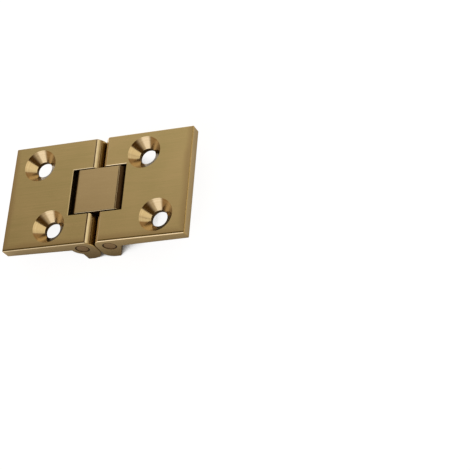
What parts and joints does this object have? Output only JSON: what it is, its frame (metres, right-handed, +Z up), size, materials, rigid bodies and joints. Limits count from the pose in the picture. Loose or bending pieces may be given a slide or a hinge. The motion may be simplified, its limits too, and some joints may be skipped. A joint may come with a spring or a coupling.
{
  "type": "folding hinge",
  "caption": "Solid brass folding hinge with two pivots: flat leaves with staggered countersunk screw holes, joined by a flush link and plain pins.",
  "frame": {"origin": "on the surface that the open hinge stands on, under the middle of the link", "axes": "+X across both leaves from the left leaf to the right leaf, +Y along the pins, +Z up out of the flush top faces"},
  "size_m": [0.06, 0.035, 0.0109],
  "materials": {
    "cast_brass": "satin, fine brushed faces",
    "bar_brass": "satin, fine brushed faces",
    "rod_brass": "drawn, dull cut ends"
  },
  "bodies": {
    "left_leaf": {"left_leaf": "cast_brass", "left_pin": "rod_brass"},
    "link": {"link": "bar_brass"},
    "right_leaf": {"right_leaf": "cast_brass", "right_pin": "rod_brass"}
  },
  "joints": [
    {"name": "left_pivot", "type": "hinge", "parent": "left_leaf", "child": "link", "pos_m": [-0.0045, 0, 0.0072], "axis": [0, -1, 0], "range_deg": [0, 90]},
    {"name": "right_pivot", "type": "hinge", "parent": "link", "child": "right_leaf", "pos_m": [0.0045, 0, 0.0072], "axis": [0, -1, 0], "range_deg": [0, 90]}
  ]
}
